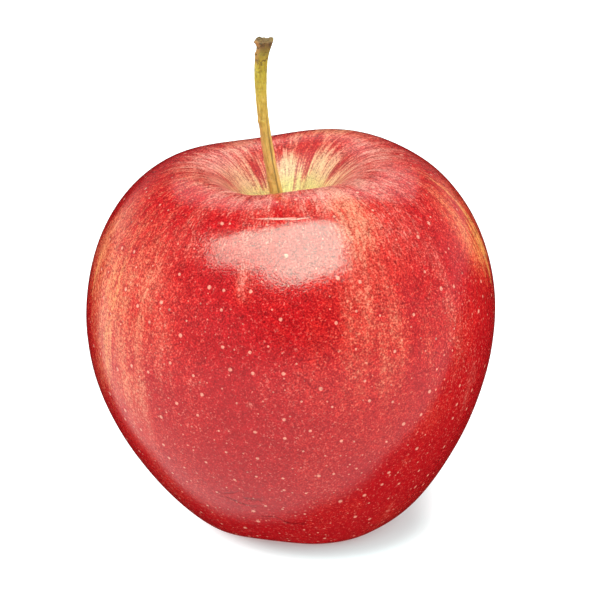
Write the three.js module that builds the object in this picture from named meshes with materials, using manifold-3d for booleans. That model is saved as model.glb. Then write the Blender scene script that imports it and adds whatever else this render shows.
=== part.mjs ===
// A fresh red apple, standing on the five lobes of its foot, with its stalk and the dried remains of its flower.
// Millimetres, +Z up. The origin is on the surface that the apple stands on, under the middle of the fruit.
// +X is the side of the higher shoulder, and the stalk leans towards -X.

import * as THREE from 'three';
import { mergeVertices } from 'three/addons/utils/BufferGeometryUtils.js';
import Module from 'manifold-3d';

// ---- Driving dimensions ----

const girthRadius = 38; // at the widest
const girthHeight = 38.4;
const crestRadius = 18; // the ring along the top of the shoulders
const crestHeight = 68.3;
const footRadius = 18.5; // the outer edge of the ring that the apple stands on
const footWidth = 2.4; // of that ring
const bowlDepth = 15; // the stalk bowl, below the crest
const basinDepth = 8; // the flower basin, above the foot

const ovality = 0.017; // share of the radius, because no apple is quite round
const ovalTurn = -0.61; // azimuth of the long side, in radians

const lobes = 5; // one for each of the five seed chambers
const lobeTurn = 0.05; // azimuth of the first lobe
const lobeSwell = 0.008; // share of the radius at the foot, fading out towards the crest
const lobeRise = 0.5; // how far the skin between two lobes is off the surface
const lobeFlattening = 0.15; // how much of each lobe is pressed flat where it rests

// The crest isn't level: it rises and falls in a few waves round the stalk bowl.
const crestWaves = [
  { count: 2, height: 0.24, turn: 0.38 },
  { count: 3, height: 0.43, turn: 0.84 },
  { count: 5, height: 0.22, turn: -0.13 },
];
const crestWaveStart = 0.55; // share of the crest's height where the waves begin

const lean = 0.037; // how far the axis goes to -X for each millimetre up
const shoulderLift = 0.065; // how far the shoulders rise for each millimetre to +X

const stalkThickness = 2.05;
const stalkGap = 0.3; // clearance between the stalk's end and the bowl's floor

const sepalLength = 6;
const sepalWidth = 3.1;
const sepalThickness = 0.5;
const sepalRing = 3.1; // radius of the ring that the sepals stand on
const sepalDrop = 1.1; // from the basin's floor to that ring, clear of the basin's slope

const stamens = 10;
const stamenLength = 3.6;
const stamenThickness = 0.5;
const stamenDrop = 0.35; // clearance between the basin's floor and the disc that they stand on

// ---- Materials ----

const skinRed = new THREE.MeshStandardMaterial({ color: 0xc4202a, roughness: 0.3, metalness: 0 });
const stalkGreen = new THREE.MeshStandardMaterial({ color: 0xb09a3a, roughness: 0.7, metalness: 0 });
const driedBrown = new THREE.MeshStandardMaterial({ color: 0x6b5138, roughness: 0.9, metalness: 0 });

// ---- Small helpers ----

const smoothStep = (share) => THREE.MathUtils.smoothstep(share, 0, 1);

function eachVertex(geometry, move) {
  const position = geometry.getAttribute('position');
  const v = new THREE.Vector3();
  for (let i = 0; i < position.count; i++) {
    move(v.fromBufferAttribute(position, i));
    position.setXYZ(i, v.x, v.y, v.z);
  }
  return geometry;
}

// A closed solid keeps only its places: its seams and poles are single vertices.
function sealed(geometry) {
  geometry.deleteAttribute('normal');
  geometry.deleteAttribute('uv');
  const merged = mergeVertices(geometry, 1e-3);
  merged.computeVertexNormals();
  return merged;
}

function piece(name, geometry, material) {
  const mesh = new THREE.Mesh(sealed(geometry), material);
  mesh.name = name;
  return mesh;
}

// ---- The fruit ----

// Half the fruit's section, from the basin's floor round the foot, girth and crest to the bowl's floor.
// At each of those places the outline runs level or upright, and one curve joins each to the next.
function fruitOutline() {
  const footInner = footRadius - footWidth;
  const footToGirth = girthRadius - footRadius;
  const crestToGirth = girthRadius - crestRadius;
  const upper = crestHeight - girthHeight;
  const bowlFloor = crestHeight - bowlDepth;

  const basin = new THREE.Path().moveTo(0, basinDepth);
  basin.bezierCurveTo(0.5 * footInner, basinDepth, 0.55 * footInner, 0, footInner, 0);
  const flank = new THREE.Path().moveTo(footRadius, 0);
  flank.bezierCurveTo(
    footRadius + 0.15 * footToGirth, 0,
    girthRadius, 0.51 * girthHeight,
    girthRadius, girthHeight,
  );
  const shoulder = new THREE.Path().moveTo(girthRadius, girthHeight);
  shoulder.bezierCurveTo(
    girthRadius, girthHeight + 0.5 * upper,
    crestRadius + 0.59 * crestToGirth, crestHeight,
    crestRadius, crestHeight,
  );
  const bowl = new THREE.Path().moveTo(crestRadius, crestHeight);
  bowl.bezierCurveTo(0.46 * crestRadius, crestHeight, 0.22 * crestRadius, bowlFloor, 0, bowlFloor);

  const points = basin.getPoints(8);
  points.push(...flank.getPoints(9));
  points.push(...shoulder.getPoints(9).slice(1));
  points.push(...bowl.getPoints(9).slice(1));
  return points;
}

// What growth does to the plain turned shape: an oval section, lobes at the foot, a wavy crest, a leaning axis and
// one high shoulder.
function grow(v) {
  const azimuth = Math.atan2(v.y, v.x);
  const radius = Math.hypot(v.x, v.y);
  const share = v.z / crestHeight;
  const lobe = Math.cos(lobes * (azimuth - lobeTurn));
  const oval = Math.cos(2 * (azimuth - ovalTurn));
  const swell = 1 + lobeSwell * (1 - share) * lobe + ovality * oval;

  let wave = 0;
  for (const { count, height, turn } of crestWaves) {
    wave += height * Math.cos(count * (azimuth - turn));
  }
  const nearCrest = THREE.MathUtils.clamp((share - crestWaveStart) / (1 - crestWaveStart), 0, 1) ** 2;
  const nearFoot = 1 - smoothStep(v.z / basinDepth);
  const betweenLobes = (1 - lobe) / 2;

  const x = v.x * swell;
  let rise = wave * nearCrest * Math.min(radius / crestRadius, 1);
  rise += lobeRise * betweenLobes * nearFoot * Math.min(radius / footRadius, 1);
  rise += x * shoulderLift * smoothStep(2 * share);
  v.set(x + axisShift(v.z), v.y * swell, v.z + rise);
}

function axisShift(height) {
  return lean * (crestHeight / 2 - height);
}

function makeFruit() {
  const azimuthSteps = 12 * lobes;
  const geometry = new THREE.LatheGeometry(fruitOutline(), azimuthSteps);
  geometry.rotateX(Math.PI / 2);
  eachVertex(geometry, (v) => {
    grow(v);
    v.z = Math.max(v.z - lobeFlattening, 0);
  });
  return piece('fruit', geometry, skinRed);
}

// ---- The stalk ----

// The stalk's own line, from the bowl's floor up, in the plane that it leans in.
function stalkLine() {
  const floor = crestHeight - bowlDepth - lobeFlattening;
  return new THREE.CatmullRomCurve3([
    new THREE.Vector3(axisShift(floor), 0, floor + stalkGap),
    new THREE.Vector3(-3.0, 0.2, 64),
    new THREE.Vector3(-4.8, 0.4, 75),
    new THREE.Vector3(-5.45, 0.3, 85.5),
    new THREE.Vector3(-4.9, 0, 92),
  ]);
}

// Its thickness: a blunt root, a slender middle and the flared end where it broke off the branch.
function stalkOutline(length) {
  const half = stalkThickness / 2;
  return new THREE.SplineCurve([
    new THREE.Vector2(0, 0),
    new THREE.Vector2(0.75 * half, 0.012 * length),
    new THREE.Vector2(1.15 * half, 0.05 * length),
    new THREE.Vector2(1.06 * half, 0.3 * length),
    new THREE.Vector2(0.98 * half, 0.62 * length),
    new THREE.Vector2(1.12 * half, 0.82 * length),
    new THREE.Vector2(1.25 * half, 0.92 * length),
    new THREE.Vector2(1.78 * half, 0.985 * length),
    new THREE.Vector2(1.5 * half, length),
    new THREE.Vector2(0, 0.985 * length),
  ]).getPoints(30);
}

function makeStalk() {
  const line = stalkLine();
  const length = line.getLength();
  const sides = 12;
  const frameSteps = 100;
  const frames = line.computeFrenetFrames(frameSteps);
  const geometry = new THREE.LatheGeometry(stalkOutline(length), sides);
  // Each point of the straight stalk moves to the same share of the curved line.
  eachVertex(geometry, (v) => {
    const share = THREE.MathUtils.clamp(v.y / length, 0, 1);
    const at = Math.round(share * frameSteps);
    const place = line.getPointAt(share);
    place.addScaledVector(frames.normals[at], v.x);
    place.addScaledVector(frames.binormals[at], -v.z);
    v.copy(place);
  });
  return piece('stalk', geometry, stalkGreen);
}

// ---- The flower's remains, in the basin ----

// One sepal, hanging down from its root at the origin, with +X outwards. It bends over the middle, tapers, and its
// tip curls back out.
function sepalGeometry() {
  const geometry = new THREE.SphereGeometry(1, 12, 10);
  return eachVertex(geometry, (v) => {
    const along = (1 - v.y) / 2;
    const bend = 1.1 * Math.sin(Math.PI * along);
    const curl = 2.6 * along ** 3;
    const taper = 1 - 0.5 * along;
    v.set(
      (v.x * sepalThickness) / 2 - bend + curl,
      (-v.z * sepalWidth * taper) / 2,
      -along * sepalLength,
    );
  });
}

function makeSepals(floor) {
  const sepals = new THREE.Group();
  for (let i = 0; i < lobes; i++) {
    const arm = new THREE.Group();
    const sepal = piece(`sepal_${i + 1}`, sepalGeometry(), driedBrown);
    sepal.position.set(sepalRing, 0, -sepalDrop);
    arm.add(sepal);
    arm.rotation.z = lobeTurn + ((i + 0.5) * 2 * Math.PI) / lobes;
    sepals.add(arm);
  }
  sepals.position.set(axisShift(floor), 0, floor);
  return sepals;
}

// The dried stamens are one piece: thin threads on the small disc that they grew from.
async function makeStamens(floor) {
  const wasm = await Module();
  wasm.setup();
  const toSolid = (geometry) => {
    const merged = sealed(geometry);
    return new wasm.Manifold(new wasm.Mesh({
      numProp: 3,
      vertProperties: merged.getAttribute('position').array,
      triVerts: new Uint32Array(merged.index.array),
    }));
  };

  const discHeight = 0.6;
  const discRadius = 1.5;
  const disc = new THREE.CylinderGeometry(discRadius, 0.8 * discRadius, discHeight, 20);
  disc.rotateX(Math.PI / 2).translate(0, 0, -discHeight / 2);
  let solid = toSolid(disc);
  for (let i = 0; i < stamens; i++) {
    const thread = new THREE.CylinderGeometry(stamenThickness / 2, 0.3 * stamenThickness, stamenLength, 7);
    thread.rotateX(Math.PI / 2).translate(0, 0, -stamenLength / 2);
    thread.rotateY(0.12 * ((i % 3) - 1));
    thread.translate(0.62 * discRadius, 0, -discHeight / 2);
    thread.rotateZ((i * 2 * Math.PI) / stamens);
    solid = solid.add(toSolid(thread));
  }

  const made = solid.getMesh();
  const geometry = new THREE.BufferGeometry();
  geometry.setAttribute('position', new THREE.BufferAttribute(new Float32Array(made.vertProperties), 3));
  geometry.setIndex(new THREE.BufferAttribute(made.triVerts, 1));
  const tuft = piece('stamens', geometry, driedBrown);
  tuft.position.set(axisShift(floor), 0, floor - stamenDrop);
  return tuft;
}

// ---- The whole apple ----

const basinFloor = basinDepth - lobeFlattening;
const fruit = makeFruit();

const grown = new THREE.Group();
grown.add(fruit, makeStalk(), makeSepals(basinFloor), await makeStamens(basinFloor));

// The fruit's middle stands over the origin.
fruit.geometry.computeBoundingBox();
const middle = fruit.geometry.boundingBox.getCenter(new THREE.Vector3());
grown.position.set(-middle.x, -middle.y, 0);

const apple = new THREE.Group();
apple.add(grown);

export default apple;
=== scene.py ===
# %% [markdown]
# # A fresh red apple
#
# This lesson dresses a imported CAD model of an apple: the fruit, its stalk, and the dried sepals and stamens
# of the flower that it grew from. The CAD pieces have the right size and place, but they are faceted and
# plain. Each one is replaced by a finer piece that is built on its own measures, so nothing has to be
# fitted afterwards.
#
# Every length is in metres, +Z is up, and the apple stands on z = 0.

# %% Load the frame
import math

import bmesh
import bpy
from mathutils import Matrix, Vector, noise


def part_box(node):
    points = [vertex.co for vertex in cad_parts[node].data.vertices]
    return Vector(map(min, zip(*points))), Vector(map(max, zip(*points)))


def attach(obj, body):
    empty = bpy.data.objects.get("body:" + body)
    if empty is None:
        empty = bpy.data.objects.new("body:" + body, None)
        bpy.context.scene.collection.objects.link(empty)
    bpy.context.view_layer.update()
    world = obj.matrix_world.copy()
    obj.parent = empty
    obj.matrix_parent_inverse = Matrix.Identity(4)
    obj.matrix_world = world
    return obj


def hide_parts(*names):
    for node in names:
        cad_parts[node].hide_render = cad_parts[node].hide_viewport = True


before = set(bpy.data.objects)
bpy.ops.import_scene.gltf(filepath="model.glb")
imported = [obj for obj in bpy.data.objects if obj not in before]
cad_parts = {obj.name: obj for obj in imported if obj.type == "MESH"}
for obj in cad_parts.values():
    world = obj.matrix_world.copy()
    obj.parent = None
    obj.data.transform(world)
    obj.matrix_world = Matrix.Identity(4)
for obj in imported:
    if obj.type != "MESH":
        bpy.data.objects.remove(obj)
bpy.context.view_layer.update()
fruit_low, fruit_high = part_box("fruit")
stalk_low, stalk_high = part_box("stalk")
flower_low, flower_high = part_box("stamens")

MM = 0.001
GIRTH_RADIUS = (fruit_high.x - fruit_low.x) / 2
print(f"the fruit is {2 * GIRTH_RADIUS / MM:.1f} mm wide and {fruit_high.z / MM:.1f} mm tall")

# %% [markdown]
# ## The growing axis
#
# An apple is organised round the line from its stalk to its flower. Colour streaks, ribs and wrinkles all
# follow that line, not the vertical, and on this fruit it leans. Two CAD pieces show where it is: the stalk
# is rooted at its top, and the stamens sit at its bottom.

# %% Measure the growing axis
ROOT_REACH = 1 * MM

flower_root = Vector(((flower_low.x + flower_high.x) / 2, 0.0, flower_high.z))

stalk_points = [v.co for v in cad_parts["stalk"].data.vertices]
root_points = [point for point in stalk_points if abs(point.z - stalk_low.z) < ROOT_REACH]
stalk_root = sum(root_points, Vector()) / len(root_points)
AXIS_SLOPE = (stalk_root.x - flower_root.x) / (stalk_root.z - flower_root.z)
AXIS_AT_FLOOR = flower_root.x - flower_root.z * AXIS_SLOPE
MIDDLE_HEIGHT = 0.52 * fruit_high.z  # latitudes are angles from the axis, seen from this height


def growing_place(point):
    """A point's azimuth round the growing axis, and its latitude: 0 at the stalk and 1 at the flower."""
    x = point.x - AXIS_AT_FLOOR - AXIS_SLOPE * point.z
    latitude = math.atan2(math.hypot(x, point.y), point.z - MIDDLE_HEIGHT) / math.pi
    return math.atan2(point.y, x), latitude


print(f"the growing axis leans {math.degrees(math.atan(AXIS_SLOPE)):.1f} degrees")

# %% [markdown]
# ## The fruit's skin
#
# The skin could be spun anew from a half-section, but a real apple isn't a turned shape: it has five lobes,
# a wavy crest and one high shoulder, and all of that is in the CAD fruit already. So the CAD mesh is copied
# and its loose triangles are merged. Joining them in pairs gives back the quads of a clean grid, and a
# subdivision surface turns that grid into a smooth skin. Triangles would leave dents that a glossy skin
# shows at once.

# %% Copy the CAD fruit and smooth it
SAME_PLACE = 0.001 * MM
PAIRING_ANGLE = 0.7  # radians
SKIN_LEVELS = 2


def welded_copy(node):
    """A new bmesh of a CAD node, with its loose triangles merged and paired into quads."""
    bm = bmesh.new()
    bm.from_mesh(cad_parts[node].data)
    bmesh.ops.remove_doubles(bm, verts=bm.verts, dist=SAME_PLACE)
    bmesh.ops.join_triangles(
        bm, faces=bm.faces, angle_face_threshold=PAIRING_ANGLE, angle_shape_threshold=PAIRING_ANGLE
    )
    return bm


def new_piece(name, bm):
    """Turns a bmesh into an object whose place is in its mesh."""
    mesh = bpy.data.meshes.new(name)
    bm.to_mesh(mesh)
    bm.free()
    piece = bpy.data.objects.new(name, mesh)
    bpy.context.scene.collection.objects.link(piece)
    mesh.shade_smooth()
    return piece


def subdivide(piece, levels):
    """Applies a subdivision surface, so that the mesh can be shaped further."""
    modifier = piece.modifiers.new("smooth", "SUBSURF")
    modifier.levels = modifier.render_levels = levels
    smooth = bpy.data.meshes.new_from_object(piece.evaluated_get(bpy.context.evaluated_depsgraph_get()))
    piece.modifiers.clear()
    rough, piece.data = piece.data, smooth
    bpy.data.meshes.remove(rough)


skin = new_piece("fruit_skin", welded_copy("fruit"))
subdivide(skin, SKIN_LEVELS)
print(f"fruit_skin has {len(skin.data.polygons)} faces")

# %% [markdown]
# ## Uneven growth
#
# Up close an apple is never a perfect surface. The flesh swells unevenly, so a reflection wobbles as it
# crosses the skin, and the skin gathers into folds where it dives into the stalk bowl and the flower basin.
# Bump would only shade such shapes, so they are modelled: every vertex moves along its normal by a smooth
# noise. The folds use a noise that is sampled on a circle round the axis, which makes it run out from the
# centre like rays.

# %% Move the skin along its normals
SWELLINGS = ((22 * MM, 0.25 * MM), (7 * MM, 0.035 * MM))  # size and height of each kind of unevenness
BOWL_FOLDS = 14
BOWL_FOLD_HEIGHT = 0.35 * MM
BASIN_FOLDS = 18
BASIN_FOLD_HEIGHT = 0.5 * MM
FLAT_FOOT = 1.0 * MM  # the skin keeps its place on the table, and moves freely above this height


def smooth_step(low, high, value):
    """0 below low, 1 above high, and smooth between; low may be the larger."""
    share = min(max((value - low) / (high - low), 0.0), 1.0)
    return share * share * (3 - 2 * share)


def heading(angle):
    """The level direction at an angle from +X."""
    return Vector((math.cos(angle), math.sin(angle), 0.0))


def fold(azimuth, latitude, folds):
    """Rays round the axis, about as many as folds, between -1 and 1."""
    return noise.noise(heading(azimuth) * (folds / 5) + Vector((0, 0, latitude * 2)))


def growth(point):
    """How far the skin stands off the smooth shape at a point."""
    azimuth, latitude = growing_place(point)
    height = sum(noise.noise(point / size) * amount for size, amount in SWELLINGS)
    in_bowl = smooth_step(0.17, 0.08, latitude) * smooth_step(0.0, 0.04, latitude)
    in_basin = smooth_step(0.84, 0.93, latitude) * smooth_step(1.0, 0.97, latitude)
    height += BOWL_FOLD_HEIGHT * in_bowl * fold(azimuth, latitude, BOWL_FOLDS)
    height += BASIN_FOLD_HEIGHT * in_basin * fold(azimuth, latitude, BASIN_FOLDS)
    return height * smooth_step(0.0, FLAT_FOOT, point.z)


normals = [v.normal.copy() for v in skin.data.vertices]
heights = [growth(v.co) for v in skin.data.vertices]
for vertex, normal, height in zip(skin.data.vertices, normals, heights):
    vertex.co += normal * height
print(f"the skin moved between {min(heights) / MM:.2f} and {max(heights) / MM:.2f} mm")

# %% [markdown]
# ## Shader nodes by name
#
# The finishes are node trees. A few short helpers add a node, set it and link it in one call, so that each
# finish reads as a list of steps.

# %% Helpers for shader nodes


def add_node(tree, kind, inputs=None, **settings):
    """Adds a shader node. Each input is given a plain value or another node's output."""
    node = tree.nodes.new("ShaderNode" + kind)
    for name, value in settings.items():
        setattr(node, name, value)
    for key, value in (inputs or {}).items():
        if isinstance(value, bpy.types.NodeSocket):
            tree.links.new(value, node.inputs[key])
        else:
            node.inputs[key].default_value = value
    return node


def calc(tree, operation, *values):
    """One sum on numbers that change over the surface."""
    return add_node(tree, "Math", dict(enumerate(values)), operation=operation).outputs[0]


def times(tree, first, second):
    """A product of two numbers."""
    return calc(tree, "MULTIPLY", first, second)


def calc_vector(tree, operation, *values):
    """One sum on vectors."""
    return add_node(tree, "VectorMath", dict(enumerate(values)), operation=operation).outputs[0]


def dot_product(tree, first, second):
    """How far one vector reaches along another."""
    return add_node(tree, "VectorMath", {0: first, 1: second}, operation="DOT_PRODUCT").outputs["Value"]


def object_place(tree):
    """The place of a point in its object."""
    return add_node(tree, "TexCoord").outputs["Object"]


def fade(tree, value, low, high, start=0.0, end=1.0):
    """Goes smoothly from start to end while value goes from low to high."""
    inputs = {"Value": value, "From Min": low, "From Max": high, "To Min": start, "To Max": end}
    return add_node(tree, "MapRange", inputs, interpolation_type="SMOOTHSTEP").outputs[0]


def mix(tree, share, first, second):
    """A blend of two numbers."""
    return add_node(tree, "Mix", {0: share, 2: first, 3: second}).outputs[0]


def mix_color(tree, share, first, second):
    """A blend of two colours."""
    return add_node(tree, "Mix", {0: share, 6: first, 7: second}, data_type="RGBA").outputs[2]


def cloud(tree, vector, size=1.0, detail=2.0, roughness=0.5):
    """A noise between 0 and 1 whose largest spots are about size wide."""
    inputs = {"Vector": vector, "Scale": 1 / size, "Detail": detail, "Roughness": roughness}
    return add_node(tree, "TexNoise", inputs).outputs[0]


def ramp(tree, value, stops):
    """Colours between stops, each a place from 0 to 1 and a colour."""
    node = add_node(tree, "ValToRGB", {0: value})
    elements = node.color_ramp.elements
    while len(elements) < len(stops):
        elements.new(0.5)
    for element, (place, color) in zip(elements, stops):
        element.position = place
        element.color = (*color, 1.0)
    return node.outputs[0]


def scaled(tree, vector, factor):
    """A place or a colour times a factor."""
    return add_node(tree, "VectorMath", {0: vector, "Scale": factor}, operation="SCALE").outputs[0]


def bump(tree, height):
    """A normal that is tilted by a relief, whose height is in metres."""
    return add_node(tree, "Bump", {"Height": height, "Distance": 1.0, "Strength": 1.0}).outputs[0]


def dress(piece, material):
    """Gives a piece its only material."""
    piece.data.materials.clear()
    piece.data.materials.append(material)
    print(f"{piece.name} has the finish {material.name}, of {len(material.node_tree.nodes)} nodes")


def link_inputs(tree, shader, values):
    """Links values that change over the surface to a shader's named inputs."""
    for name, value in values.items():
        tree.links.new(value, shader.inputs[name])


def new_material(name, **constants):
    """A material whose Principled shader has the given constant values."""
    material = bpy.data.materials.new(name)
    material.use_nodes = True
    shader = material.node_tree.nodes["Principled BSDF"]
    for key, value in constants.items():
        shader.inputs[key.replace("_", " ")].default_value = value
    return material, material.node_tree, shader


# %% [markdown]
# ## Where a point is on the skin
#
# The pattern has to follow the growing axis too. From the Object coordinates the material works out the
# same azimuth, radius and latitude as the shape does. An azimuth jumps from one side of its range to the
# other somewhere on the fruit, and a noise would show that as a seam. So the noises are sampled at the
# cosine and sine of the azimuth instead, which meet all the way round.

# %% The skin's own map


def skin_map(tree):
    """Outputs for the place, the direction away from the axis, the azimuth, the radius and the latitude."""
    place = object_place(tree)
    x, y, z = add_node(tree, "SeparateXYZ", {0: place}).outputs
    x = calc(tree, "SUBTRACT", x, calc(tree, "MULTIPLY_ADD", z, AXIS_SLOPE, AXIS_AT_FLOOR))
    sideways = add_node(tree, "CombineXYZ", {0: x, 1: y}).outputs[0]
    radius = add_node(tree, "VectorMath", {0: sideways}, operation="LENGTH").outputs["Value"]
    around = calc_vector(tree, "NORMALIZE", sideways)
    azimuth = calc(tree, "ARCTAN2", y, x)
    polar = calc(tree, "ARCTAN2", radius, calc(tree, "SUBTRACT", z, MIDDLE_HEIGHT))
    latitude = calc(tree, "DIVIDE", polar, math.pi)
    return place, around, azimuth, radius, latitude


def streaky(tree, around, latitude, across, along, **settings):
    """A noise of streaks: across is how many fit round the fruit, and along is how many fit down it."""
    scale = across / (2 * math.pi)
    ring = calc_vector(tree, "MULTIPLY", around, (scale, scale, 0.0))
    down = add_node(tree, "CombineXYZ", {2: times(tree, latitude, along)}).outputs[0]
    return cloud(tree, calc_vector(tree, "ADD", ring, down), **settings)


# %% [markdown]
# ## Pores
#
# The pale dots on an apple are its pores. They are scattered evenly, but never on a grid, and they crowd
# towards the flower end, because the fruit swells least there. A three-dimensional Voronoi texture would
# cut through cells at any height and give rings and slivers. A flat one, laid over azimuth and latitude,
# gives each cell exactly one centre on the skin. The distance to that centre is worked out in metres, so
# the dots stay round everywhere.

# %% Build the group that draws pores
SMALLEST_PORE = 0.55  # as shares of the given radii
LARGEST_PORE = 1.15
PORE_CORE = 0.45  # the part of a dot that is fully pale
SEAM_WIDTH = 0.2  # in cells


def build_pores_group():
    """A group with a dot and a halo round the centre of every cell."""
    tree = bpy.data.node_groups.new("pores", "ShaderNodeTree")
    for name in ("Azimuth", "Latitude", "Radius", "Spacing", "Dot Radius", "Halo Radius", "Share", "Shift"):
        tree.interface.new_socket(name, in_out="INPUT", socket_type="NodeSocketFloat")
    for name in ("Dot", "Halo"):
        tree.interface.new_socket(name, in_out="OUTPUT", socket_type="NodeSocketFloat")
    given = tree.nodes.new("NodeGroupInput").outputs
    result = tree.nodes.new("NodeGroupOutput").inputs

    cells_across = calc(tree, "DIVIDE", GIRTH_RADIUS, given["Spacing"])
    u = times(tree, given["Azimuth"], cells_across)
    v = times(tree, times(tree, given["Latitude"], math.pi), cells_across)
    v = calc(tree, "ADD", v, given["Shift"])
    flat = add_node(tree, "CombineXYZ", {0: u, 1: v}).outputs[0]
    cells = add_node(tree, "TexVoronoi", {"Vector": flat, "Scale": 1.0}, voronoi_dimensions="2D")
    center = add_node(tree, "SeparateXYZ", {0: cells.outputs["Position"]}).outputs
    size_luck, share_luck, _ = add_node(tree, "SeparateXYZ", {0: cells.outputs["Color"]}).outputs

    narrowing = calc(tree, "DIVIDE", given["Radius"], GIRTH_RADIUS)
    du = times(tree, calc(tree, "SUBTRACT", center[0], u), narrowing)
    dv = calc(tree, "SUBTRACT", center[1], v)
    cells_away = calc(tree, "SQRT", calc(tree, "MULTIPLY_ADD", du, du, times(tree, dv, dv)))
    away = times(tree, cells_away, given["Spacing"])

    size = fade(tree, size_luck, 0.0, 1.0, SMALLEST_PORE, LARGEST_PORE)
    dot_radius = times(tree, given["Dot Radius"], size)
    halo_radius = times(tree, given["Halo Radius"], size)
    kept = calc(tree, "LESS_THAN", share_luck, given["Share"])
    # A cell that the back seam would cut in two stays empty.
    seam = calc(tree, "SUBTRACT", times(tree, cells_across, math.pi), SEAM_WIDTH)
    whole = calc(tree, "LESS_THAN", calc(tree, "ABSOLUTE", center[0]), seam)
    kept = times(tree, kept, whole)
    core = times(tree, dot_radius, PORE_CORE)
    dot = times(tree, fade(tree, away, dot_radius, core), kept)
    halo = times(tree, fade(tree, away, halo_radius, dot_radius), kept)
    tree.links.new(dot, result["Dot"])
    tree.links.new(halo, result["Halo"])
    return tree


pores_group = build_pores_group()


def pores(tree, azimuth, latitude, radius, **values):
    """Places the pores group in a material with its own values."""
    inputs = {"Azimuth": azimuth, "Latitude": latitude, "Radius": radius}
    inputs.update((name.replace("_", " "), value) for name, value in values.items())
    return add_node(tree, "Group", inputs, node_tree=pores_group).outputs


print(f"the pores group has {len(pores_group.nodes)} nodes")

# %% [markdown]
# ## The skin's colour
#
# The red of an apple is a blush over a yellow-green ground. The blush isn't paint: it is made of tiny
# cells, each red or not, and the eye mixes them. So the finish has three steps. First comes a number for
# how open the blush is: high round the stalk, in shaded patches and in streaks. Then a fine grain decides
# cell by cell whether red or ground shows, with the openness as its threshold. Last come the two colours
# themselves, which also change over the fruit, from deep red to orange red and from pink to yellow-green.
#
# Noises alone give an even pattern all round. A real fruit has cheeks that a leaf shaded and cheeks that
# faced the sun, and those have a place. They are soft ovals here, listed by where they are on the skin.

# %% List the patches
# Each patch: azimuth in degrees, latitude, half-width in degrees, half-height, strength.
SHADED_PATCHES = (
    (-159, 0.41, 28, 0.19, 0.36), (-140, 0.56, 9, 0.07, 0.16), (-118, 0.275, 8, 0.03, 0.16),
    (-106, 0.22, 18, 0.07, 0.20), (-78, 0.205, 9, 0.03, 0.22), (-66, 0.41, 10, 0.11, 0.30),
    (-64, 0.215, 11, 0.075, 0.30), (-61, 0.26, 8, 0.08, 0.19), (-42, 0.31, 18, 0.15, 0.15),
    (-35, 0.20, 14, 0.05, 0.10), (-11, 0.31, 14, 0.10, 0.30), (60, 0.40, 26, 0.24, 0.42),
    (118, 0.36, 14, 0.22, 0.26),
)
# Where the sun reached the skin the blush closes, so these are negative.
SUNNY_PATCHES = (
    (-173, 0.52, 9, 0.13, -0.42), (-139, 0.185, 10, 0.025, -0.10), (-98, 0.37, 24, 0.08, -0.20),
    (-45, 0.66, 25, 0.08, -0.20), (-29, 0.168, 9, 0.018, -0.18),
)
# Bands of cream and red down the wall of the bowl, wider than its rays.
BOWL_BANDS = (
    (45, 0.10, 16, 0.025, 0.24), (66, 0.12, 7, 0.03, -0.35), (75, 0.135, 45, 0.02, -0.12),
    (82, 0.147, 6, 0.02, 0.25), (86, 0.10, 9, 0.025, 0.50), (120, 0.105, 6, 0.02, -0.35),
    (131, 0.14, 7, 0.022, 0.25), (135, 0.105, 9, 0.025, 0.15), (160, 0.14, 16, 0.03, 0.05),
)
# Small places that were rubbed pale against a twig or a crate, and one painted streak.
# The streak at -102.5 is a painted highlight: it carries the window's reflection on down the skin.
PALE_RUBS_AND_PAINTED_STREAK = (
    (-117, 0.484, 3.5, 0.010, 0.16), (-117, 0.659, 2, 0.010, 0.20), (-102.5, 0.326, 3.0, 0.034, 0.50),
    (-101, 0.509, 1.6, 0.006, 0.30), (-53, 0.643, 2.5, 0.014, 0.22),
)
# Where the red is brighter, where the ground is orange, and where threads of it are yellow.
BRIGHT_PATCHES = (
    (-142, 0.57, 12, 0.09, 0.30), (-66, 0.42, 22, 0.20, 0.15),
)
ORANGE_PATCHES = (
    (-160, 0.40, 34, 0.26, 0.8), (-62, 0.24, 9, 0.07, 0.5), (-60, 0.44, 24, 0.14, 0.6),
    (-12, 0.32, 16, 0.11, 1.2), (64, 0.42, 40, 0.30, 1.0), (122, 0.38, 22, 0.24, 0.6),
)
YELLOW_STREAKS = (
    (-168, 0.41, 5, 0.06, 0.50), (-152, 0.44, 5, 0.14, 0.30), (-20, 0.30, 3, 0.04, 0.40),
    (-9, 0.325, 7, 0.11, 0.75), (55, 0.38, 7, 0.18, 0.60), (72, 0.45, 6, 0.14, 0.50),
)
CREASED_PATCHES = (
    (-109, 0.71, 8, 0.02, 1.0), (-93, 0.757, 16, 0.014, 1.0),
)
# One thin pale line along the top of the window's reflection, in three pieces that overlap.
PALE_LINE_PIECES = (
    (-96, 0.2200, 5, 0.0016, 0.7), (-90, 0.2220, 5, 0.0016, 0.9), (-84, 0.2245, 5, 0.0014, 0.8),
)
PLACED_OPENNESS = SHADED_PATCHES + SUNNY_PATCHES + BOWL_BANDS + PALE_RUBS_AND_PAINTED_STREAK
print(f"the blush opens or closes in {len(PLACED_OPENNESS)} places")

# %% Helpers for soft patches
EDGE_OF_PATCH = 1.7  # where an oval ends, in squares of its half-size


def soft_patch(tree, around, latitude, patch):
    """A soft oval on one place of the skin."""
    azimuth, middle, half_width, half_height, strength = patch
    facing = dot_product(tree, around, heading(math.radians(azimuth)))
    # 1 - cos(a) is a*a / 2 for a small angle a.
    across = times(tree, calc(tree, "SUBTRACT", 1.0, facing), 2 / math.radians(half_width) ** 2)
    down = calc(tree, "DIVIDE", calc(tree, "SUBTRACT", latitude, middle), half_height)
    away = calc(tree, "MULTIPLY_ADD", down, down, across)
    return fade(tree, away, EDGE_OF_PATCH, 0.0, 0.0, strength)


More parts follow.
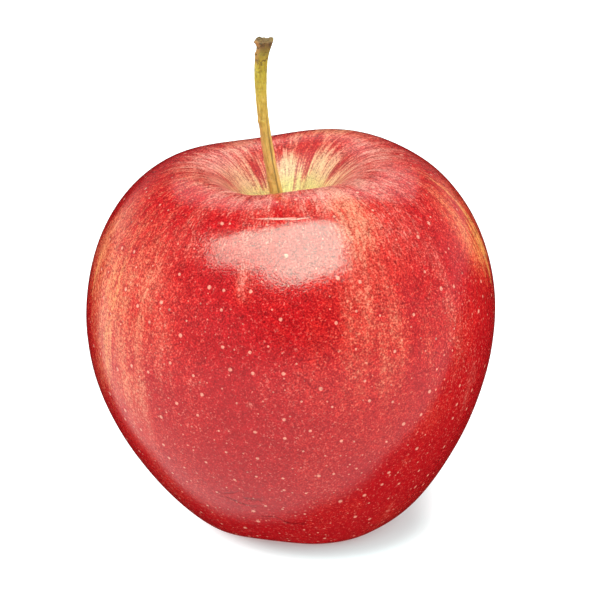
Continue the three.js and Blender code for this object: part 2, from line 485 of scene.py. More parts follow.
def soft_patches(tree, around, latitude, patches):
    """The sum of several soft ovals."""
    total = 0.0
    for patch in patches:
        total = calc(tree, "ADD", soft_patch(tree, around, latitude, patch), total)
    return total


def centered(tree, value, amount):
    """Spreads a noise round zero."""
    return times(tree, calc(tree, "SUBTRACT", value, 0.5), amount)


def add_all(tree, *values):
    """The sum of several values."""
    total = values[0]
    for value in values[1:]:
        total = calc(tree, "ADD", total, value)
    return total


# %% Gather how open the blush is
OPEN_ON_LIP = 0.38
OPEN_ON_BOWL_FLOOR = 0.30
OPEN_ABOVE_GIRTH = 0.06
OPEN_BELOW_GIRTH = -0.01
BROAD_CHANGE = 0.7
STREAK_CHANGE = 0.75
RAY_CHANGE = 1.3


def openness(tree, around, latitude):
    """How open the blush is: 0 is closed and 1 is bare ground."""
    broad = streaky(tree, around, latitude, 14, 3.0, detail=2.0)
    streaks = streaky(tree, around, latitude, 70, 5.0, detail=3.0, roughness=0.65)
    rays = streaky(tree, around, latitude, 40, 9.0, detail=3.0, roughness=0.8)
    everywhere = add_all(
        tree,
        fade(tree, latitude, 0.50, 0.68, OPEN_ABOVE_GIRTH, OPEN_BELOW_GIRTH),
        fade(tree, latitude, 0.23, 0.15, 0.0, OPEN_ON_LIP),
        fade(tree, latitude, 0.115, 0.085, 0.0, OPEN_ON_BOWL_FLOOR),
        soft_patches(tree, around, latitude, PLACED_OPENNESS),
        centered(tree, broad, BROAD_CHANGE),
        centered(tree, streaks, STREAK_CHANGE),
    )
    in_bowl = fade(tree, latitude, 0.17, 0.10)
    return calc(tree, "MULTIPLY_ADD", centered(tree, rays, RAY_CHANGE), in_bowl, everywhere)


def yellow_streaks(tree, around, latitude):
    """Narrow threads of yellow ground within the yellow patches."""
    threads = streaky(tree, around, latitude, 190, 9.0, detail=2.0, roughness=0.6)
    yellow = soft_patches(tree, around, latitude, YELLOW_STREAKS)
    return times(tree, yellow, fade(tree, threads, 0.42, 0.66))


# %% Decide cell by cell between red and ground
CELL_SIZE = 0.55 * MM
FINE_SIZE = 0.32 * MM
CLOSED_LEVEL = 0.70
OPEN_LEVEL = 0.34
CELL_EDGE = 0.16


def blush_grain(tree, place, around, latitude):
    """The cells of the blush: round on the sides, and dashes towards the stalk, longest in the bowl."""
    cells = cloud(tree, place, CELL_SIZE, detail=2.0, roughness=0.7)
    dashes = streaky(tree, around, latitude, 420, 85.0, detail=2.0, roughness=0.7)
    rays = streaky(tree, around, latitude, 230, 50.0, detail=2.0, roughness=0.7)
    grain = mix(tree, fade(tree, latitude, 0.38, 0.24), cells, dashes)
    return mix(tree, fade(tree, latitude, 0.20, 0.15), grain, rays)


def bare_cells(tree, grain, opened):
    """1 in the cells that show the ground and 0 in the red ones, with soft edges."""
    level = fade(tree, opened, 0.0, 1.0, CLOSED_LEVEL, OPEN_LEVEL)
    bare = fade(tree, grain, calc(tree, "SUBTRACT", level, CELL_EDGE), calc(tree, "ADD", level, CELL_EDGE))
    # In a closed blush the bare cells are tinged red too.
    return times(tree, bare, fade(tree, opened, 0.0, 0.9, 0.38, 1.0))


# %% Mix the ground and the red
DEEP_RED = (0.40, 0.003, 0.006, 1.0)
BRIGHT_RED = (0.50, 0.020, 0.013, 1.0)
PINK_GROUND = (0.66, 0.27, 0.20, 1.0)
ORANGE_GROUND = (0.70, 0.22, 0.085, 1.0)
YELLOW_GROUND = (0.76, 0.35, 0.075, 1.0)
CREAM_GROUND = (0.66, 0.39, 0.20, 1.0)
GREEN_GROUND = (0.60, 0.48, 0.15, 1.0)


def ground_color(tree, around, latitude, yellow):
    """Pink on the sides, orange and yellow in patches, cream and then green down the bowl."""
    orange = soft_patches(tree, around, latitude, ORANGE_PATCHES)
    ground = mix_color(tree, orange, PINK_GROUND, ORANGE_GROUND)
    ground = mix_color(tree, yellow, ground, YELLOW_GROUND)
    ground = mix_color(tree, fade(tree, latitude, 0.135, 0.105), ground, CREAM_GROUND)
    return mix_color(tree, fade(tree, latitude, 0.105, 0.085), ground, GREEN_GROUND)


def red_color(tree, place, brightness, opened, ground):
    """Deep red where the blush is closed, and a brighter red with some ground in it where it opens."""
    depth = cloud(tree, place, 14 * MM, detail=3.0)
    brightness = add_all(tree, centered(tree, depth, 1.2), times(tree, opened, 1.1), brightness)
    red = mix_color(tree, fade(tree, brightness, 0.0, 0.8), DEEP_RED, BRIGHT_RED)
    return mix_color(tree, fade(tree, opened, 0.1, 1.0, 0.0, 0.45), red, ground)


# %% [markdown]
# ## Marks and wax
#
# Old skin is creased near the foot, where the fruit shrinks first. A crease is a thin line, and one noise
# draws many of them: the line where it passes through its middle value wanders about but never ends. Each
# crease is pressed into the relief, and its shade is painted into the colour as a darker line. The cells
# also differ in brightness, whatever their colour, and they lift the wax into a fine orange peel. The wax is
# the Principled shader's coat. It lies thicker over some cells than over others, which breaks up the
# reflections a little, as on the fruit.

# %% Draw the creases and the uneven brightness
# A crease's shade is painted into the colour: this is how much darker its line is drawn.
CREASE_PAINTED_SHADE = -0.4


def crease_lines(tree, around, latitude):
    """1 on the thin lines of the creased patches, and 0 beside them."""
    waves = streaky(tree, around, latitude, 14, 30.0, detail=1.0)
    lines = fade(tree, calc(tree, "ABSOLUTE", calc(tree, "SUBTRACT", waves, 0.5)), 0.025, 0.005)
    return times(tree, lines, soft_patches(tree, around, latitude, CREASED_PATCHES))


def relative_brightness(tree, place, latitude, grain, fine, creases):
    """How bright each cell is: 1 is the mean, the cells near the stalk differ most, and the creases get
    painted shade.
    """
    coarse = cloud(tree, place, 2 * CELL_SIZE, detail=1.0)
    uneven = calc(tree, "ADD", centered(tree, fine, 1.3), centered(tree, coarse, 0.6))
    uneven = times(tree, uneven, fade(tree, latitude, 0.10, 0.16, 0.4, 1.0))
    uneven = times(tree, uneven, fade(tree, latitude, 0.58, 0.32, 0.75, 1.4))
    in_bowl = fade(tree, latitude, 0.20, 0.14)
    uneven = calc(tree, "MULTIPLY_ADD", centered(tree, grain, 1.2), in_bowl, uneven)
    # Painted shade: the creases darken the colour.
    uneven = calc(tree, "MULTIPLY_ADD", creases, CREASE_PAINTED_SHADE, uneven)
    return calc(tree, "ADD", uneven, 1.0)


# %% Put the skin's finish together
# The colour of the thin pale line along the top of the window's reflection.
PALE_LINE = (0.70, 0.42, 0.33, 1.0)
PORE = (0.74, 0.29, 0.20, 1.0)
OPEN_IN_YELLOW = 0.8
OPEN_ROUND_PORE = -0.12
SMALL_PORE_STRENGTH = 0.6
LARGE_PORE_STRENGTH = 0.9
SIDE_ROUGHNESS = 0.17
BOWL_ROUGHNESS = 0.5
THICKEST_WAX = 0.4
PEEL_SIZE = 1.3 * MM
PEEL_HEIGHT = 0.045 * MM
CELL_HEIGHT = 0.026 * MM
PORE_HEIGHT = 0.015 * MM
CREASE_HEIGHT = -0.05 * MM


def skin_bump(tree, place, fine, pore_dots, creases):
    """The skin's fine relief as a normal."""
    peel = cloud(tree, place, PEEL_SIZE, detail=2.0, roughness=0.4)
    height = times(tree, peel, PEEL_HEIGHT)
    height = calc(tree, "MULTIPLY_ADD", fine, CELL_HEIGHT, height)
    height = calc(tree, "MULTIPLY_ADD", pore_dots, PORE_HEIGHT, height)
    height = calc(tree, "MULTIPLY_ADD", creases, CREASE_HEIGHT, height)
    return bump(tree, height)


def make_skin_material():
    """Blush, pores and a thin coat of wax."""
    material, tree, shader = new_material("waxy_skin", IOR=1.5, Coat_Roughness=0.17)
    place, around, azimuth, radius, latitude = skin_map(tree)
    large = pores(
        tree, azimuth, latitude, radius,
        Spacing=5.4 * MM, Dot_Radius=0.42 * MM, Halo_Radius=2.2 * MM, Shift=0.0,
        Share=fade(tree, latitude, 0.18, 0.50, 0.25, 0.85),
    )
    small = pores(
        tree, azimuth, latitude, radius,
        Spacing=2.4 * MM, Dot_Radius=0.22 * MM, Halo_Radius=0.6 * MM, Shift=17.0,
        Share=fade(tree, latitude, 0.18, 0.50, 0.1, 0.35),
    )

    yellow = yellow_streaks(tree, around, latitude)
    opened = openness(tree, around, latitude)
    opened = calc(tree, "MULTIPLY_ADD", yellow, OPEN_IN_YELLOW, opened)
    opened = calc(tree, "MULTIPLY_ADD", large["Halo"], OPEN_ROUND_PORE, opened)
    fine = cloud(tree, place, FINE_SIZE, detail=1.0)
    grain = calc(tree, "ADD", blush_grain(tree, place, around, latitude), centered(tree, fine, 0.35))

    ground = ground_color(tree, around, latitude, yellow)
    bright = soft_patches(tree, around, latitude, BRIGHT_PATCHES)
    bright = add_all(tree, bright, 0.05, centered(tree, fine, 1.6))
    red = red_color(tree, place, bright, opened, ground)
    color = mix_color(tree, bare_cells(tree, grain, opened), red, ground)
    color = mix_color(tree, soft_patches(tree, around, latitude, PALE_LINE_PIECES), color, PALE_LINE)
    outside_bowl = fade(tree, latitude, 0.13, 0.17)
    for dots, strength in ((small["Dot"], SMALL_PORE_STRENGTH), (large["Dot"], LARGE_PORE_STRENGTH)):
        shown = times(tree, dots, times(tree, outside_bowl, strength))
        color = mix_color(tree, shown, color, PORE)
    creases = crease_lines(tree, around, latitude)
    color = scaled(tree, color, relative_brightness(tree, place, latitude, grain, fine, creases))

    roughness = fade(tree, latitude, 0.17, 0.09, SIDE_ROUGHNESS, BOWL_ROUGHNESS)
    wax = fade(tree, fine, 0.25, 0.75, 0.0, THICKEST_WAX)
    relief = skin_bump(tree, place, fine, large["Dot"], creases)
    linked = {"Base Color": color, "Roughness": roughness, "Coat Weight": wax, "Normal": relief}
    link_inputs(tree, shader, linked)
    return material


dress(skin, make_skin_material())
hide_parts("fruit")
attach(skin, "root")

# %% [markdown]
# ## The stalk
#
# The stalk is a woody stem with ribs along its length. It grows out of the bowl's floor, leans, and flares
# where it tore off the branch. It could be a curve with a round bevel, but then every section would be a
# circle. Here the CAD stalk is cut with level planes to find its centre and radius at many heights, and a
# ribbed ring of vertices is laid at each of them and bridged to the next. Its foot goes on into the flesh,
# so no gap shows, and its torn top is a ragged rim round a shallow hollow.

# %% Measure the CAD stalk at many heights
RING_STEP = 0.4 * MM
RIM_ALLOWANCE = 1.5 * MM


def stalk_section(height):
    """The centre and the radius of the CAD stalk where a level plane cuts it."""
    bm = welded_copy("stalk")
    everything = bm.verts[:] + bm.edges[:] + bm.faces[:]
    cut = bmesh.ops.bisect_plane(bm, geom=everything, plane_co=(0, 0, height), plane_no=(0, 0, 1))["geom_cut"]
    points = [item.co.copy() for item in cut if isinstance(item, bmesh.types.BMVert)]
    bm.free()
    center = sum(points, Vector()) / len(points)
    return center, max((point - center).length for point in points)


first_ring = stalk_low.z + RING_STEP
last_ring = stalk_high.z - RIM_ALLOWANCE
measured_height = last_ring - first_ring
ring_count = round(measured_height / RING_STEP)
ring_heights = [first_ring + measured_height * index / (ring_count - 1) for index in range(ring_count)]
sections = [stalk_section(height) for height in ring_heights]
thinnest = min(radius for _, radius in sections)
print(f"measured {ring_count} sections of the stalk, {2 * thinnest / MM:.2f} mm at its thinnest")

# %% Shape the ribs, the groove and the torn end
# Heights and depths are shares of the stalk's radius. Along it, 0 is the root and 1 is the tip.
RIB_COUNT = 5
RIB_DEPTH = 0.05
RIB_TWIST = 0.9
GROOVE_ANGLE = math.radians(-66)
GROOVE_WIDTH = math.radians(16)
GROOVE_DEPTH = 0.16
GROOVE_TWIST = 0.5
BARK = ((1.5, 9, 0.10), (4, 40, 0.06))  # each roughness: how fine across, how fine along, height
MISSING_BELOW_RIM = 0.09
MISSING_ON_FAR_SIDE = 0.20
REGAINED_ON_FAR_SIDE = 0.10
RAGGED = 0.5 * MM
TONGUE = 0.8


def stalk_relief(angle, along):
    """How far the stalk stands off its mean radius, as a share of it: ribs, one groove and rough bark."""
    ribs = RIB_DEPTH * math.cos(RIB_COUNT * (angle - RIB_TWIST * along))
    turn = math.remainder(angle - GROOVE_ANGLE - GROOVE_TWIST * along, 2 * math.pi) / GROOVE_WIDTH
    groove = GROOVE_DEPTH * math.exp(-turn * turn) * smooth_step(0.75, 0.45, along)
    bark = 0.0
    for across, down, height in BARK:
        bark += noise.noise(heading(angle) * across + Vector((0, 0, along * down))) * height
    return ribs - groove + bark


def torn_side(angle, along):
    """How much of the radius is missing: the torn end flares on one side and hardly on the other."""
    far = (1 - math.cos(angle)) / 2
    below = smooth_step(0.90, 0.95, along) * (MISSING_BELOW_RIM + MISSING_ON_FAR_SIDE * far)
    rim = smooth_step(0.965, 0.985, along) * (MISSING_BELOW_RIM + REGAINED_ON_FAR_SIDE * far)
    return below - rim


def ragged_lift(outward, along):
    """How far the torn rim rises: by a coarse and a fine noise, and by a tongue towards +X."""
    jagged = noise.noise(outward * 1.7 + Vector((0, 0, 5))) + 0.6 * noise.noise(outward * 5)
    jagged += TONGUE * max(0.0, outward.x) ** 3
    return RAGGED * jagged * smooth_step(0.94, 0.99, along)


print(f"the groove is {GROOVE_DEPTH * thinnest / MM:.2f} mm deep where the stalk is thinnest")

# %% Lay the rings and bridge them
STALK_SIDES = 40
STALK_LEVELS = 1
# Each extra ring: how far below the first section or above the last, and its share of that section's radius.
FOOT_RINGS = ((1.6 * MM, 1.5), (0.5 * MM, 1.2))
TORN_RINGS = (
    (0.40 * MM, 1.06), (0.70 * MM, 1.12), (0.90 * MM, 1.08),
    (0.95 * MM, 0.92), (0.60 * MM, 0.66), (0.45 * MM, 0.30),
)


def add_stalk_ring(bm, center, radius):
    """Adds a closed ring round a centre, which notes its own angle and height, and gives back its edges."""
    ring = bmesh.ops.create_circle(bm, segments=STALK_SIDES, radius=1.0)["verts"]
    note = bm.verts.layers.float_vector["stalk_place"]
    along = (center.z - stalk_low.z) / (stalk_high.z - stalk_low.z)
    for vertex in ring:
        angle = math.atan2(vertex.co.y, vertex.co.x)
        outward = heading(angle)
        reach = radius * (1 + stalk_relief(angle, along) - torn_side(angle, along))
        vertex.co = center + outward * reach + Vector((0, 0, ragged_lift(outward, along)))
        vertex[note] = (outward.x, outward.y, along)
    return list({edge for vertex in ring for edge in vertex.link_edges})


stalk_bm = bmesh.new()
stalk_bm.verts.layers.float_vector.new("stalk_place")
root_center, root_radius = sections[0]
top_center, top_radius = sections[-1]
rings = []
for depth, share in FOOT_RINGS:
    rings.append(add_stalk_ring(stalk_bm, root_center - Vector((0, 0, depth)), root_radius * share))
for center, radius in sections:
    rings.append(add_stalk_ring(stalk_bm, center, radius))
for rise, share in TORN_RINGS:
    rings.append(add_stalk_ring(stalk_bm, top_center + Vector((0, 0, rise)), top_radius * share))
for lower, upper in zip(rings, rings[1:]):
    bmesh.ops.bridge_loops(stalk_bm, edges=lower + upper)
bmesh.ops.contextual_create(stalk_bm, geom=rings[0])
bmesh.ops.contextual_create(stalk_bm, geom=rings[-1])
bmesh.ops.recalc_face_normals(stalk_bm, faces=stalk_bm.faces)
stalk = new_piece("stalk_wood", stalk_bm)
subdivide(stalk, STALK_LEVELS)
print(f"stalk_wood has {len(rings)} rings and {len(stalk.data.polygons)} faces")

# %% [markdown]
# ## Dried fibre
#
# The stalk and what is left of the flower are plant fibre: long pale and dark strands with brown specks
# between them. Both finishes use the same effect, so it is one node group. It gives masks only, and each
# material turns them into its own colours.

# %% Build the group that draws fibres


def build_fibre_group():
    """A group with strands along the third axis of a place, and specks between them."""
    tree = bpy.data.node_groups.new("plant_fibre", "ShaderNodeTree")
    tree.interface.new_socket("Place", in_out="INPUT", socket_type="NodeSocketVector")
    for name in ("Strand Count", "Strand Break", "Speck Count"):
        tree.interface.new_socket(name, in_out="INPUT", socket_type="NodeSocketFloat")
    for name in ("Strands", "Specks"):
        tree.interface.new_socket(name, in_out="OUTPUT", socket_type="NodeSocketFloat")
    given = tree.nodes.new("NodeGroupInput").outputs
    result = tree.nodes.new("NodeGroupOutput").inputs

    stretch = {0: given["Strand Count"], 1: given["Strand Count"], 2: given["Strand Break"]}
    drawn_out = add_node(tree, "CombineXYZ", stretch).outputs[0]
    strand_place = calc_vector(tree, "MULTIPLY", given["Place"], drawn_out)
    strands = cloud(tree, strand_place, detail=3.0, roughness=0.65)
    specks = cloud(tree, scaled(tree, given["Place"], given["Speck Count"]), detail=3.0, roughness=0.7)
    tree.links.new(fade(tree, strands, 0.3, 0.7), result["Strands"])
    tree.links.new(fade(tree, specks, 0.50, 0.62), result["Specks"])
    return tree


fibre_group = build_fibre_group()


def fibres(tree, place, strand_count, strand_break, speck_count):
    """Places the fibre group in a material with its own values."""
    inputs = {"Place": place, "Strand Count": strand_count, "Strand Break": strand_break}
    inputs["Speck Count"] = speck_count
    return add_node(tree, "Group", inputs, node_tree=fibre_group).outputs


print(f"the fibre group has {len(fibre_group.nodes)} nodes")

# %% [markdown]
# ## The stalk's colour
#
# A fresh stalk is green wood: golden where it leaves the bowl, olive higher up, and brown where it tore and
# dried. One side has rusted, and the groove is drawn darker. The rings noted their own angle and height in
# an attribute, so the material can follow the leaning stalk without knowing its shape.

# %% Mix the stalk's finish
STALK_COLORS = (
    (0.0, (0.34, 0.18, 0.05)),
    (0.06, (0.56, 0.36, 0.07)),
    (0.30, (0.74, 0.44, 0.11)),
    (0.43, (0.70, 0.42, 0.10)),
    (0.58, (0.56, 0.365, 0.055)),
    (0.84, (0.44, 0.35, 0.014)),
    (0.893, (0.37, 0.26, 0.01)),
    (0.93, (0.25, 0.18, 0.014)),
    (0.96, (0.17, 0.085, 0.018)),
    (1.0, (0.20, 0.10, 0.035)),
)
RUST = (0.48, 0.20, 0.05, 1.0)
RUST_FACING = (-0.9, -0.43, 0.0)
DARK_STRAND = (0.26, 0.17, 0.02, 1.0)
PALE_STRAND = (0.74, 0.56, 0.14, 1.0)
GROOVE_DARK = (0.15, 0.09, 0.015, 1.0)
STALK_SPECK = (0.07, 0.035, 0.01, 1.0)
TORN_ROUGHNESS = 0.8
STRAND_HEIGHT = 0.08 * MM
SPECK_HEIGHT = -0.06 * MM


def rust_mask(tree, around, along):
    """Where the stalk is rusty: on one side, low down and again below the tip."""
    facing = dot_product(tree, around, RUST_FACING)
    low_down = fade(tree, along, 0.75, 0.45, 0.0, 0.8)
    below_tip = fade(tree, along, 0.84, 0.92, 0.0, 0.7)
    return times(tree, fade(tree, facing, 0.55, 1.0), calc(tree, "ADD", low_down, below_tip))


def groove_mask(tree, x, y, along):
    """Where the groove is, by the same angle and twist as its shape."""
    middle = calc(tree, "MULTIPLY_ADD", along, GROOVE_TWIST, GROOVE_ANGLE)
    beside = calc(tree, "ABSOLUTE", calc(tree, "SUBTRACT", calc(tree, "ARCTAN2", y, x), middle))
    return times(tree, fade(tree, beside, 0.26, 0.06), fade(tree, along, 0.72, 0.45, 0.0, 0.75))


def make_stalk_material():
    """Green wood that is golden low down, olive higher up and brown where it tore."""
    material, tree, shader = new_material("stalk_bark", IOR=1.45)
    place = add_node(tree, "Attribute", attribute_name="stalk_place").outputs["Vector"]
    x, y, along = add_node(tree, "SeparateXYZ", {0: place}).outputs
    around = add_node(tree, "CombineXYZ", {0: x, 1: y}).outputs[0]
    strands = fibres(tree, place, 2.4, 16.0, 9.0)["Strands"]
    specks = fibres(tree, object_place(tree), 900.0, 500.0, 1400.0)["Specks"]

    color = ramp(tree, along, STALK_COLORS)
    color = mix_color(tree, rust_mask(tree, around, along), color, RUST)
    color = mix_color(tree, fade(tree, strands, 0.55, 0.0, 0.0, 0.5), color, DARK_STRAND)
    pale = times(tree, fade(tree, strands, 0.6, 1.0, 0.0, 0.4), fade(tree, along, 0.93, 0.86))
    color = mix_color(tree, pale, color, PALE_STRAND)
    # The groove is drawn darker.
    color = mix_color(tree, groove_mask(tree, x, y, along), color, GROOVE_DARK)
    dark = times(tree, specks, fade(tree, along, 0.76, 0.93, 0.12, 0.8))
    color = mix_color(tree, dark, color, STALK_SPECK)

    torn = fade(tree, along, 0.93, 0.97)
    roughness = mix(tree, torn, fade(tree, strands, 0.0, 1.0, 0.42, 0.6), TORN_ROUGHNESS)
    height = calc(tree, "MULTIPLY_ADD", specks, SPECK_HEIGHT, times(tree, strands, STRAND_HEIGHT))
    link_inputs(tree, shader, {"Base Color": color, "Roughness": roughness, "Normal": bump(tree, height)})
    return material


dress(stalk, make_stalk_material())
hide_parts("stalk")
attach(stalk, "root")

# %% [markdown]
# ## What is left of the flower
#
# In the basin under the apple sit five dried sepals round a tuft of dried stamens. They are small, thin and
# crumpled, and from most sides they can't be seen at all. The CAD pieces already have the right curl, so
# each one is copied, smoothed and crumpled by a noise.

# %% Mix the flower's finish
DRY_LEAF = (0.09, 0.045, 0.015, 1.0)
DRY_VEIN = (0.32, 0.19, 0.08, 1.0)
DRY_SPECK = (0.03, 0.018, 0.008, 1.0)
VEIN_HEIGHT = 0.1 * MM


def make_flower_material():
    """Dry brown leaf with pale veins."""
    material, tree, shader = new_material("dry_flower", IOR=1.4, Roughness=0.85)
    place = object_place(tree)
    strands, specks = fibres(tree, place, 900.0, 500.0, 2200.0)
    color = mix_color(tree, strands, DRY_LEAF, DRY_VEIN)
    color = mix_color(tree, specks, color, DRY_SPECK)
    relief = bump(tree, times(tree, strands, VEIN_HEIGHT))
    link_inputs(tree, shader, {"Base Color": color, "Normal": relief})
    return material


flower_material = make_flower_material()
print(f"dry_flower has {len(flower_material.node_tree.nodes)} shader nodes")

# %% Crumple the sepals and the stamens
CRUMPLE_SIZE = 1.1 * MM
SEPAL_CRUMPLE = 0.22 * MM
SEPAL_LEVELS = 2
STAMEN_CRUMPLE = 0.3 * SEPAL_CRUMPLE
STAMEN_LEVELS = 1


def crumpled_copy(node, name, crumple, levels):
    """A finer copy of a CAD node whose surface is pushed about by a noise."""
    piece = new_piece(name, welded_copy(node))
    subdivide(piece, levels)
    for vertex in piece.data.vertices:
        vertex.co += noise.noise_vector(vertex.co / CRUMPLE_SIZE) * crumple
    dress(piece, flower_material)
    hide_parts(node)
    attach(piece, "root")
    return piece


for number in range(1, 6):
    sepal = crumpled_copy(f"sepal_{number}", f"sepal_leaf_{number}", SEPAL_CRUMPLE, SEPAL_LEVELS)
stamens = crumpled_copy("stamens", "stamen_threads", STAMEN_CRUMPLE, STAMEN_LEVELS)
print(f"one sepal has {len(sepal.data.polygons)} faces and the stamens {len(stamens.data.polygons)}")

# %% [markdown]
# ## The stage
#
# The apple stands on white shining paper under one large soft light, which hangs above and in front of it.
# The skin is a mirror for all of this: the light makes the bright window on the shoulder, and the table
# fills the lower half with a pale sheen. A glossy fruit keeps its dark edge only where the table falls dark
# behind it. So three kinds of ray see three tables. The camera sees white paper that glows, but less under
# the apple, where a soft shadow is painted into the glow over the real shadow on the paper. Reflections see a
# table painted as lit outside a dark wedge of painted shade, and dimming with distance. Bounced light sees
# almost the same glow everywhere.

# %% Lay the table
TABLE_REACH = 4.0

table_bm = bmesh.new()
bmesh.ops.create_grid(table_bm, x_segments=1, y_segments=1, size=TABLE_REACH)
table = new_piece("table", table_bm)
print(f"the table reaches {max(v.co.x for v in table.data.vertices):.0f} m to each side")

# %% Say what each kind of ray sees of the table
WHITE = (1.0, 1.0, 1.0, 1.0)
PAPER = (0.42, 0.55, 0.55, 1.0)
# The part painted as lit lies outside a wedge of painted shade: each side is its outward normal in degrees
# and its distance.
PAINTED_LIT_EDGES = ((-135.0, 34 * MM), (-116.0, 25 * MM), (-95.0, 30 * MM), (-75.0, 41 * MM))
EDGE_SOFTNESS = 3 * MM
DIMS_FROM = 0.06
DIMS_TO = 0.5
MIRRORED_NEAR = 0.80
MIRRORED_FAR = 0.36
BOUNCED_IN_WEDGE = 1.28
BOUNCED_MORE_IF_PAINTED_LIT = 0.15
# The painted shadow lies round a line that runs from front to back: where it is, where it starts and where it
# ends.
SHADOW_LINE_X = 6.5 * MM
SHADOW_LINE_FRONT = -6.0 * MM
SHADOW_LINE_BACK = 9.0 * MM
SHADOW_CORE = 15 * MM
SHADOW_EDGE = 25.5 * MM
GLOW_IN_SHADOW = 0.30
GLOW = 0.94


def painted_lit_part(tree, place):
    """1 on the part of the table painted as lit, and 0 inside the wedge of painted shade."""
    painted_lit = 0.0
    for degrees, distance in PAINTED_LIT_EDGES:
        reach = dot_product(tree, place, heading(math.radians(degrees)))
        side = fade(tree, reach, distance - EDGE_SOFTNESS, distance + EDGE_SOFTNESS)
        painted_lit = calc(tree, "MAXIMUM", side, painted_lit)
    return painted_lit


def paper_glow(tree, place):
    """How much the paper glows for the camera: less near the line of its painted shadow."""
    y = add_node(tree, "SeparateXYZ", {0: place}).outputs["Y"]
    y = calc(tree, "MINIMUM", calc(tree, "MAXIMUM", y, SHADOW_LINE_FRONT), SHADOW_LINE_BACK)
    on_line = add_node(tree, "CombineXYZ", {0: SHADOW_LINE_X, 1: y}).outputs[0]
    away = add_node(tree, "VectorMath", {0: place, 1: on_line}, operation="DISTANCE").outputs["Value"]
    return fade(tree, away, SHADOW_CORE, SHADOW_EDGE, GLOW_IN_SHADOW, GLOW)


def emission(tree, color, strength):
    """A glowing surface."""
    return add_node(tree, "Emission", {"Color": color, "Strength": strength}).outputs[0]


def bare_material(name):
    """A material with no nodes yet."""
    material = bpy.data.materials.new(name)
    material.use_nodes = True
    material.node_tree.nodes.clear()
    return material, material.node_tree


def make_table_material():
    """Glowing paper with a painted shadow for the camera, and a table of painted light and shade for
    everything else.
    """
    material, tree = bare_material("white_table")
    place = object_place(tree)
    seen = add_node(tree, "LightPath").outputs
    # Reflections and bounced light see painted light outside the wedge and painted shade inside it.
    painted_lit = painted_lit_part(tree, place)
    away = add_node(tree, "VectorMath", {0: place}, operation="LENGTH").outputs["Value"]
    mirrored = times(tree, painted_lit, fade(tree, away, DIMS_FROM, DIMS_TO, MIRRORED_NEAR, MIRRORED_FAR))
    bounced = calc(tree, "MULTIPLY_ADD", painted_lit, BOUNCED_MORE_IF_PAINTED_LIT, BOUNCED_IN_WEDGE)
    strength = mix(tree, seen["Is Glossy Ray"], bounced, mirrored)
    lighting = emission(tree, WHITE, strength)
    paper = add_node(tree, "BsdfDiffuse", {"Color": PAPER}).outputs[0]
    # The camera sees glowing paper with a painted soft shadow near the apple.
    shining = emission(tree, WHITE, paper_glow(tree, place))
    shown = add_node(tree, "AddShader", {0: paper, 1: shining}).outputs[0]
    surface = add_node(tree, "MixShader", {0: seen["Is Camera Ray"], 1: lighting, 2: shown}).outputs[0]
    add_node(tree, "OutputMaterial", {"Surface": surface})
    return material


dress(table, make_table_material())

# %% [markdown]
# ## The light and the studio
#
# A glossy skin shows the shape of its light, so the light has two halves. A flat glowing panel is seen by
# reflections only, and it is cut so that its mirrored shape is that of a window. A lamp lights the skin and
# stays out of its reflections. Two weaker panels do the same work for the back and for the dark side. The
# room round it all is a world that gets brighter to the sides, as if white walls stood there.

# %% Hang the panels and the lamp
LIGHT_HEIGHT = 0.5
WINDOW_CORNERS = (
    (-0.34, -0.02), (0.11, -0.02), (0.18, -0.14), (0.28, -0.40), (0.32, -0.49), (0.26, -0.54),
    (0.13, -0.60), (-0.05, -0.69), (-0.21, -0.67), (-0.25, -0.51), (-0.30, -0.39), (-0.49, -0.26),
)
BACK_CORNERS = ((-0.3, 0.35), (0.4, 0.35), (0.4, 1.0), (-0.3, 1.0))
CARD_OUTLINE = ((0.45, -0.12, 0.0), (0.45, 0.13, 0.0), (0.45, 0.13, 0.18), (0.45, -0.12, 0.18))
COOL_WHITE = (0.50, 1.0, 0.84, 1.0)
LAMP_PLACE = (-0.10, -0.38, LIGHT_HEIGHT)
LAMP_SIZE = 0.6
LAMP_POWER = 3.5


def overhead(corners):
    """The outline of a level panel at the light's height."""
    return [(x, y, LIGHT_HEIGHT) for x, y in corners]


def hang_panel(name, outline, color, faint_end, bright_end):
    """A flat glowing panel that only reflections see. Each end is a place along an axis and a strength."""
    bm = bmesh.new()
    corners = [bm.verts.new(corner) for corner in outline]
    bmesh.ops.contextual_create(bm, geom=corners)
    panel = new_piece(name, bm)
    panel.visible_camera = False
    panel.visible_diffuse = False
    panel.visible_shadow = False
    material, tree = bare_material(name)
    (faint_place, faint), (bright_place, bright) = faint_end, bright_end
    way = Vector(bright_place) - Vector(faint_place)
    start = Vector(faint_place).dot(way)
    along = dot_product(tree, object_place(tree), way)
    strength = fade(tree, along, start, start + way.length_squared, faint, bright)
    add_node(tree, "OutputMaterial", {"Surface": emission(tree, color, strength)})
    dress(panel, material)


hang_panel("window", overhead(WINDOW_CORNERS), COOL_WHITE, ((-0.4, 0.0, 0.0), 6.4), ((0.0, 0.0, 0.0), 11.0))
hang_panel("back_window", overhead(BACK_CORNERS), WHITE, ((0.0, 1.0, 0.0), 0.5), ((0.0, 0.4, 0.0), 0.9))
hang_panel("side_card", CARD_OUTLINE, WHITE, ((0.0, 0.0, 0.17), 0.0), ((0.0, 0.0, 0.05), 0.5))

# An area lamp shines straight down unless it is turned.
lamp = bpy.data.lights.new("soft_lamp", "AREA")
lamp.shape = "SQUARE"
lamp.size = LAMP_SIZE
lamp.energy = LAMP_POWER
light = bpy.data.objects.new("soft_lamp", lamp)
light.location = LAMP_PLACE
light.visible_camera = False
light.visible_glossy = False
bpy.context.scene.collection.objects.link(light)
print(f"soft_lamp is {LAMP_SIZE} m wide and gives {LAMP_POWER} W")

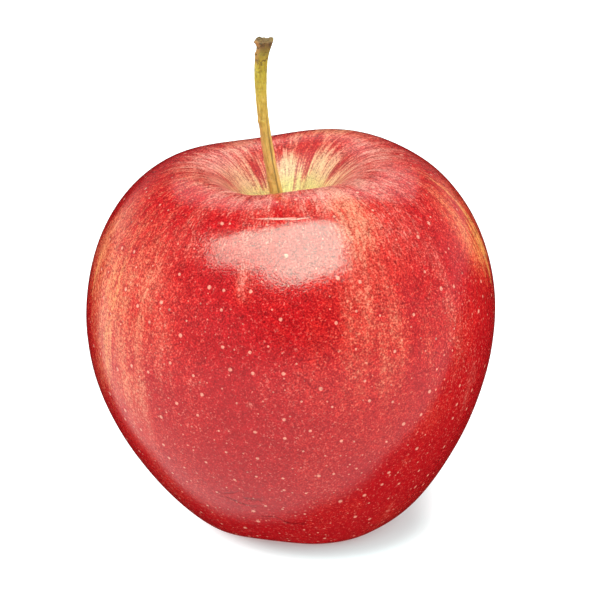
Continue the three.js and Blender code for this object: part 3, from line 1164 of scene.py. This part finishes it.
# %% Set the surroundings
CAMERA_BACKGROUND = 1.3
AHEAD = 0.25
AT_THE_SIDES = 2.7
MORE_FROM_RIGHT = 0.1
LOW = 0.8
HIGH = 1.2
IN_FRONT = 0.86
BEHIND = 1.3
MIRRORED_ROOM = 0.08
MIRRORED_WALLS = 0.34

world = bpy.data.worlds.new("studio")
world.use_nodes = True
tree = world.node_tree
background = tree.nodes["Background"]
seen = add_node(tree, "LightPath").outputs
x, y, z = add_node(tree, "SeparateXYZ", {0: add_node(tree, "TexCoord").outputs["Generated"]}).outputs
sideways = calc(tree, "ABSOLUTE", x)
lighting = fade(tree, sideways, 0.25, 0.95, AHEAD, AT_THE_SIDES)
lighting = times(tree, lighting, calc(tree, "MULTIPLY_ADD", x, MORE_FROM_RIGHT, 1.0))
lighting = times(tree, lighting, fade(tree, z, 0.0, 0.7, LOW, HIGH))
lighting = times(tree, lighting, fade(tree, y, -0.3, 0.5, IN_FRONT, BEHIND))
walls = times(tree, fade(tree, sideways, 0.2, 0.7), fade(tree, z, 0.45, 0.1))
mirrored = calc(tree, "MULTIPLY_ADD", walls, MIRRORED_WALLS, MIRRORED_ROOM)
room = mix(tree, seen["Is Glossy Ray"], lighting, mirrored)
strength = mix(tree, seen["Is Camera Ray"], room, CAMERA_BACKGROUND)
tree.links.new(strength, background.inputs["Strength"])
background.inputs["Color"].default_value = WHITE
bpy.context.scene.world = world
bpy.context.scene.view_settings.view_transform = "Standard"
print(f"the studio has {len(tree.nodes)} shader nodes")

# %% [markdown]
# ## The camera
#
# The camera looks down on the apple from the front, far enough away to keep its shape free of distortion.

# %% Place the camera
LOOK_DOWN = math.radians(20.45)
CAMERA_DISTANCE = 0.7012
LENS = 226.6  # millimetres on a 36 mm sensor
AIM = Vector((1.72 * MM, 0.0, 41.4 * MM))

camera_data = bpy.data.cameras.new("camera")
camera_data.lens = LENS
camera = bpy.data.objects.new("camera", camera_data)
camera.location = AIM + Vector((0.0, -math.cos(LOOK_DOWN), math.sin(LOOK_DOWN))) * CAMERA_DISTANCE
camera.rotation_euler = (math.pi / 2 - LOOK_DOWN, 0.0, 0.0)
bpy.context.scene.collection.objects.link(camera)
bpy.context.scene.camera = camera
print(f"the camera is {CAMERA_DISTANCE} m away and {camera.location.z:.3f} m high")

# %% [markdown]
# ## The end
#
# The CAD model gives the apple its true size, and the finer pieces are built on its measures.

# %% Finish


print("the apple is dressed")
